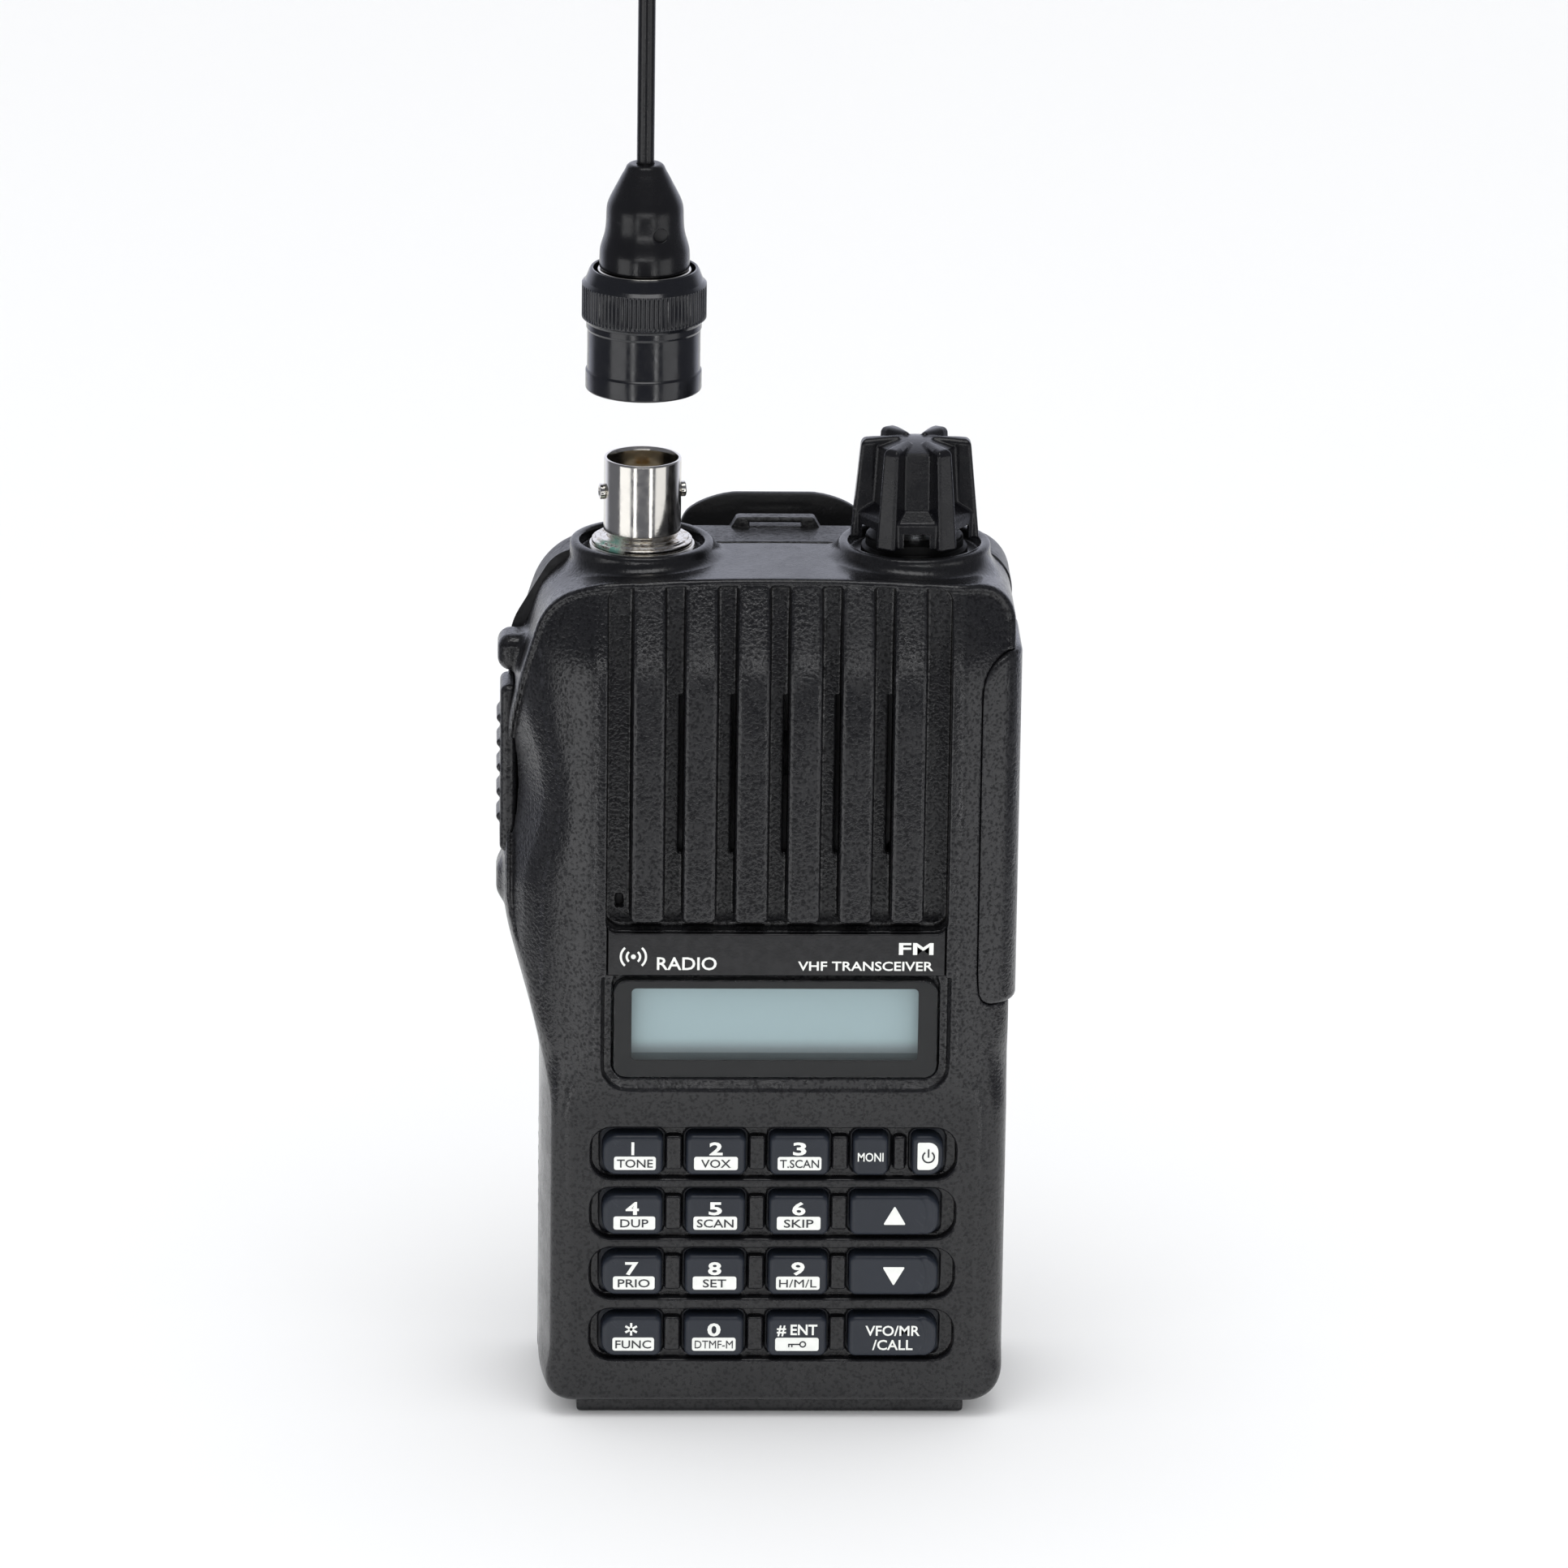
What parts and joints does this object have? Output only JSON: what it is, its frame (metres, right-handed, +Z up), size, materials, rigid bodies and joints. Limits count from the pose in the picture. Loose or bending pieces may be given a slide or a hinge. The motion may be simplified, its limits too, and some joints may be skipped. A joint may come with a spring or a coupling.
{
  "type": "handheld radio transceiver",
  "caption": "Handheld two-way radio with ribbed speaker grille, display window, keypad, side talk button, volume knob, battery pack, belt clip and a bayonet aerial lifted off its jack.",
  "frame": {"origin": "on the ground plane under the mid-point between the aerial jack and the volume knob", "axes": "+X right seen from the keypad side, +Y from the keypad towards the back, +Z up"},
  "size_m": [0.0664, 0.0382, 0.2822],
  "materials": {
    "case_plastic": "moulded leather grain",
    "chassis_paint": "black wrinkle paint on die casting",
    "battery_plastic": "fine moulded grain",
    "seal_rubber": "plain",
    "cover_rubber": "grained",
    "gloss_black": "polished",
    "window": "clear with printed border",
    "display": "reflective liquid crystal",
    "knob_plastic": "satin",
    "key_plastic": "satin keycap",
    "circuit_board": "solder mask",
    "steel": "plain",
    "nickel": "nickel plate",
    "ptfe": "natural",
    "contact_gold": "gold plate",
    "plug_black": "satin gloss",
    "whip_black": "coated wire",
    "clip_plastic": "satin",
    "component_black": "plain",
    "control_black": "plain"
  },
  "bodies": {
    "radio": {"battery_contacts": "contact_gold", "case_gasket": "seal_rubber", "case_screws": "steel", "clip_pin": "steel", "clip_plate": "clip_plastic", "clip_screws": "steel", "clip_spring": "steel", "control_nut": "control_black", "front_case": "case_plastic", "jack_contact": "contact_gold", "jack_insulator": "ptfe", "jack_nut": "nickel", "jack_shell": "nickel", "jack_washer": "seal_rubber", "keypad_sheet": "seal_rubber", "lcd_module": "display", "logic_board": "circuit_board", "mic_socket": "component_black", "microphone": "component_black", "name_strip": "gloss_black", "rear_chassis": "chassis_paint", "rf_board": "circuit_board", "speaker": "component_black", "speaker_socket": "component_black", "talk_switch": "component_black", "volume_control": "nickel", "window_lens": "window"},
    "knob": {"volume_knob": "knob_plastic", "control_shaft": "nickel"},
    "talk_button": {"talk_button": "cover_rubber"},
    "socket_cover": {"socket_cover": "cover_rubber"},
    "battery": {"battery_shell": "battery_plastic", "battery_cover": "battery_plastic", "battery_cells": "steel", "battery_terminals": "contact_gold"},
    "battery_latch": {"battery_latch": "battery_plastic"},
    "belt_clip": {"clip_lever": "clip_plastic"},
    "antenna": {"plug_body": "nickel", "plug_pin": "contact_gold", "antenna_boot": "plug_black", "set_screw": "steel", "antenna_whip": "whip_black"},
    "coupling_ring": {"coupling_ring": "plug_black"},
    "key_call": {"key_call": "key_plastic"},
    "key_down": {"key_down": "key_plastic"},
    "key_monitor": {"key_monitor": "key_plastic"},
    "key_power": {"key_power": "key_plastic"},
    "key_row1_1": {"key_row1_1": "key_plastic"},
    "key_row1_2": {"key_row1_2": "key_plastic"},
    "key_row1_3": {"key_row1_3": "key_plastic"},
    "key_row2_1": {"key_row2_1": "key_plastic"},
    "key_row2_2": {"key_row2_2": "key_plastic"},
    "key_row2_3": {"key_row2_3": "key_plastic"},
    "key_row3_1": {"key_row3_1": "key_plastic"},
    "key_row3_2": {"key_row3_2": "key_plastic"},
    "key_row3_3": {"key_row3_3": "key_plastic"},
    "key_row4_1": {"key_row4_1": "key_plastic"},
    "key_row4_2": {"key_row4_2": "key_plastic"},
    "key_row4_3": {"key_row4_3": "key_plastic"},
    "key_up": {"key_up": "key_plastic"}
  },
  "joints": [
    {"name": "antenna_lift", "type": "slide", "parent": "radio", "child": "antenna", "axis": [0, 0, 1], "range_m": [-0.0185, 0.03]},
    {"name": "coupling_turn", "type": "hinge", "parent": "antenna", "child": "coupling_ring", "pos_m": [-0.0173, 0, 0.14], "axis": [0, 0, 1], "range_deg": [0, 90]},
    {"name": "volume_turn", "type": "hinge", "parent": "radio", "child": "knob", "pos_m": [0.0173, 0, 0.12], "axis": [0, 0, -1], "range_deg": [0, 280]},
    {"name": "talk_press", "type": "slide", "parent": "radio", "child": "talk_button", "axis": [1, 0, 0], "range_m": [0, 0.001], "stiffness_N_per_m": 1500, "springref_m": -0.0005},
    {"name": "socket_cover_swing", "type": "hinge", "parent": "radio", "child": "socket_cover", "pos_m": [0.0303, 0.0019, 0.078], "axis": [0, 0, 1], "range_deg": [0, 110]},
    {"name": "battery_swing", "type": "hinge", "parent": "radio", "child": "battery", "pos_m": [0, 0.0054, 0.0865], "axis": [1, 0, 0], "range_deg": [0, 3.5]},
    {"name": "latch_slide", "type": "slide", "parent": "battery", "child": "battery_latch", "axis": [0, 1, 0], "range_m": [0, 0.0025], "stiffness_N_per_m": 400, "springref_m": -0.001},
    {"name": "belt_clip_open", "type": "hinge", "parent": "radio", "child": "belt_clip", "pos_m": [0, 0.0174, 0.101], "axis": [1, 0, 0], "range_deg": [0, 16], "stiffness_Nm_per_rad": 0.3, "springref_deg": -9.74},
    {"name": "key_call_press", "type": "slide", "parent": "radio", "child": "key_call", "axis": [0, 1, 0], "range_m": [0, 0.0008], "stiffness_N_per_m": 900, "springref_m": -0.0003},
    {"name": "key_down_press", "type": "slide", "parent": "radio", "child": "key_down", "axis": [0, 1, 0], "range_m": [0, 0.0008], "stiffness_N_per_m": 900, "springref_m": -0.0003},
    {"name": "key_monitor_press", "type": "slide", "parent": "radio", "child": "key_monitor", "axis": [0, 1, 0], "range_m": [0, 0.0008], "stiffness_N_per_m": 900, "springref_m": -0.0003},
    {"name": "key_power_press", "type": "slide", "parent": "radio", "child": "key_power", "axis": [0, 1, 0], "range_m": [0, 0.0008], "stiffness_N_per_m": 900, "springref_m": -0.0003},
    {"name": "key_row1_1_press", "type": "slide", "parent": "radio", "child": "key_row1_1", "axis": [0, 1, 0], "range_m": [0, 0.0008], "stiffness_N_per_m": 900, "springref_m": -0.0003},
    {"name": "key_row1_2_press", "type": "slide", "parent": "radio", "child": "key_row1_2", "axis": [0, 1, 0], "range_m": [0, 0.0008], "stiffness_N_per_m": 900, "springref_m": -0.0003},
    {"name": "key_row1_3_press", "type": "slide", "parent": "radio", "child": "key_row1_3", "axis": [0, 1, 0], "range_m": [0, 0.0008], "stiffness_N_per_m": 900, "springref_m": -0.0003},
    {"name": "key_row2_1_press", "type": "slide", "parent": "radio", "child": "key_row2_1", "axis": [0, 1, 0], "range_m": [0, 0.0008], "stiffness_N_per_m": 900, "springref_m": -0.0003},
    {"name": "key_row2_2_press", "type": "slide", "parent": "radio", "child": "key_row2_2", "axis": [0, 1, 0], "range_m": [0, 0.0008], "stiffness_N_per_m": 900, "springref_m": -0.0003},
    {"name": "key_row2_3_press", "type": "slide", "parent": "radio", "child": "key_row2_3", "axis": [0, 1, 0], "range_m": [0, 0.0008], "stiffness_N_per_m": 900, "springref_m": -0.0003},
    {"name": "key_row3_1_press", "type": "slide", "parent": "radio", "child": "key_row3_1", "axis": [0, 1, 0], "range_m": [0, 0.0008], "stiffness_N_per_m": 900, "springref_m": -0.0003},
    {"name": "key_row3_2_press", "type": "slide", "parent": "radio", "child": "key_row3_2", "axis": [0, 1, 0], "range_m": [0, 0.0008], "stiffness_N_per_m": 900, "springref_m": -0.0003},
    {"name": "key_row3_3_press", "type": "slide", "parent": "radio", "child": "key_row3_3", "axis": [0, 1, 0], "range_m": [0, 0.0008], "stiffness_N_per_m": 900, "springref_m": -0.0003},
    {"name": "key_row4_1_press", "type": "slide", "parent": "radio", "child": "key_row4_1", "axis": [0, 1, 0], "range_m": [0, 0.0008], "stiffness_N_per_m": 900, "springref_m": -0.0003},
    {"name": "key_row4_2_press", "type": "slide", "parent": "radio", "child": "key_row4_2", "axis": [0, 1, 0], "range_m": [0, 0.0008], "stiffness_N_per_m": 900, "springref_m": -0.0003},
    {"name": "key_row4_3_press", "type": "slide", "parent": "radio", "child": "key_row4_3", "axis": [0, 1, 0], "range_m": [0, 0.0008], "stiffness_N_per_m": 900, "springref_m": -0.0003},
    {"name": "key_up_press", "type": "slide", "parent": "radio", "child": "key_up", "axis": [0, 1, 0], "range_m": [0, 0.0008], "stiffness_N_per_m": 900, "springref_m": -0.0003}
  ]
}
